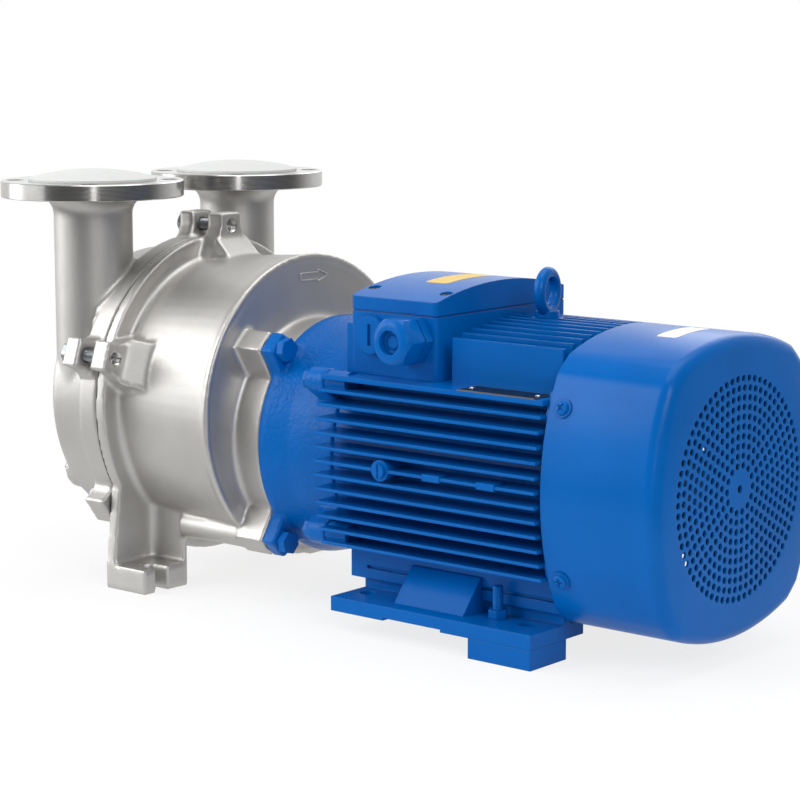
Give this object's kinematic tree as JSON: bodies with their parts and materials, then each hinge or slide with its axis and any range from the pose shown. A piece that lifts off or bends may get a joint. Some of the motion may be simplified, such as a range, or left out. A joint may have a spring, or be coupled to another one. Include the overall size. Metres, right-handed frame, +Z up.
{
  "type": "liquid ring vacuum pump",
  "caption": "Liquid ring vacuum pump: cast stainless wet end with paired flanged top ports, close-coupled to a finned, foot-mounted electric motor with terminal box and fan cowl.",
  "frame": {"origin": "floor level, below the middle of the overall length and width", "axes": "+X along the shaft from the ports towards the fan, +Y to the discharge side, +Z up"},
  "size_m": [0.641, 0.318, 0.335],
  "materials": {
    "cast_stainless": "bead-blasted casting",
    "machined_steel": "machined",
    "plain_steel": "zinc plated",
    "blue_casting": "gloss paint on a casting",
    "blue_sheet": "gloss paint on sheet",
    "blue_fittings": "gloss paint over plastic",
    "white_plastic": "moulded",
    "black_plastic": "moulded",
    "black_rubber": "moulded",
    "lamination": "stacked sheet",
    "copper_winding": "varnished",
    "brass": "turned",
    "plate_metal": "blank, satin"
  },
  "bodies": {
    "pump_unit": {"port_cover": "cast_stainless", "cover_gasket": "black_rubber", "control_disc": "machined_steel", "valve_stop": "machined_steel", "pump_casing": "cast_stainless", "casing_bolts": "plain_steel", "feed_plug": "plain_steel", "drain_plug": "plain_steel", "seal_seat": "white_plastic", "drive_end_shield": "blue_casting", "flange_bolts": "blue_casting", "tie_bolts": "blue_casting", "shaft_seal": "black_rubber", "drive_bearing_outer": "machined_steel", "rear_bearing_outer": "machined_steel", "motor_frame": "blue_casting", "stator_core": "lamination", "stator_windings": "copper_winding", "rear_end_shield": "blue_casting", "fan_cowl": "blue_sheet", "cowl_screws": "blue_sheet", "terminal_box_base": "blue_casting", "terminal_box_gasket": "black_rubber", "terminal_box_lid": "blue_casting", "lid_screws": "plain_steel", "terminal_block": "black_plastic", "terminal_studs": "brass", "gland_body": "blue_fittings", "gland_nut": "blue_fittings", "gland_seal": "blue_fittings", "blanking_plug": "blue_fittings", "eye_bolt": "blue_casting", "suction_side_foot": "blue_casting", "discharge_side_foot": "blue_casting", "suction_side_spacer": "blue_casting", "discharge_side_spacer": "blue_casting", "spacer_studs": "blue_casting", "spacer_nuts": "blue_casting", "nameplate": "plate_metal", "nameplate_rivets": "plain_steel", "earth_screw": "blue_casting"},
    "rotor": {"motor_shaft": "machined_steel", "impeller": "machined_steel", "impeller_key": "plain_steel", "impeller_nut": "plain_steel", "seal_head": "machined_steel", "rotor_core": "lamination", "cooling_fan": "black_plastic", "fan_circlip": "plain_steel", "drive_bearing_inner": "machined_steel", "rear_bearing_inner": "machined_steel"},
    "drive_balls": {"drive_bearing_balls": "machined_steel"},
    "rear_balls": {"rear_bearing_balls": "machined_steel"},
    "suction_cap": {"suction_cap": "white_plastic"},
    "discharge_cap": {"discharge_cap": "white_plastic"},
    "valve_flap": {"valve_flap": "white_plastic"}
  },
  "joints": [
    {"name": "rotor_spin", "type": "hinge", "parent": "pump_unit", "child": "rotor", "pos_m": [0, 0, 0.127], "axis": [1, 0, 0], "continuous": true},
    {"name": "drive_balls_spin", "type": "hinge", "parent": "pump_unit", "child": "drive_balls", "pos_m": [0, 0, 0.127], "axis": [1, 0, 0], "continuous": true},
    {"name": "rear_balls_spin", "type": "hinge", "parent": "pump_unit", "child": "rear_balls", "pos_m": [0, 0, 0.127], "axis": [1, 0, 0], "continuous": true},
    {"name": "suction_cap_lift", "type": "slide", "parent": "pump_unit", "child": "suction_cap", "axis": [0, 0, 1], "range_m": [0, 0.06]},
    {"name": "discharge_cap_lift", "type": "slide", "parent": "pump_unit", "child": "discharge_cap", "axis": [0, 0, 1], "range_m": [0, 0.06]},
    {"name": "valve_flap_lift", "type": "hinge", "parent": "pump_unit", "child": "valve_flap", "pos_m": [-0.1994, 0.02, 0.167], "axis": [0, 0, 1], "range_deg": [0, 7], "stiffness_Nm_per_rad": 0.02}
  ],
  "couplings": [
    {"joint": "drive_balls_spin", "follows": "rotor_spin", "ratio": 0.3806},
    {"joint": "rear_balls_spin", "follows": "rotor_spin", "ratio": 0.3991}
  ]
}
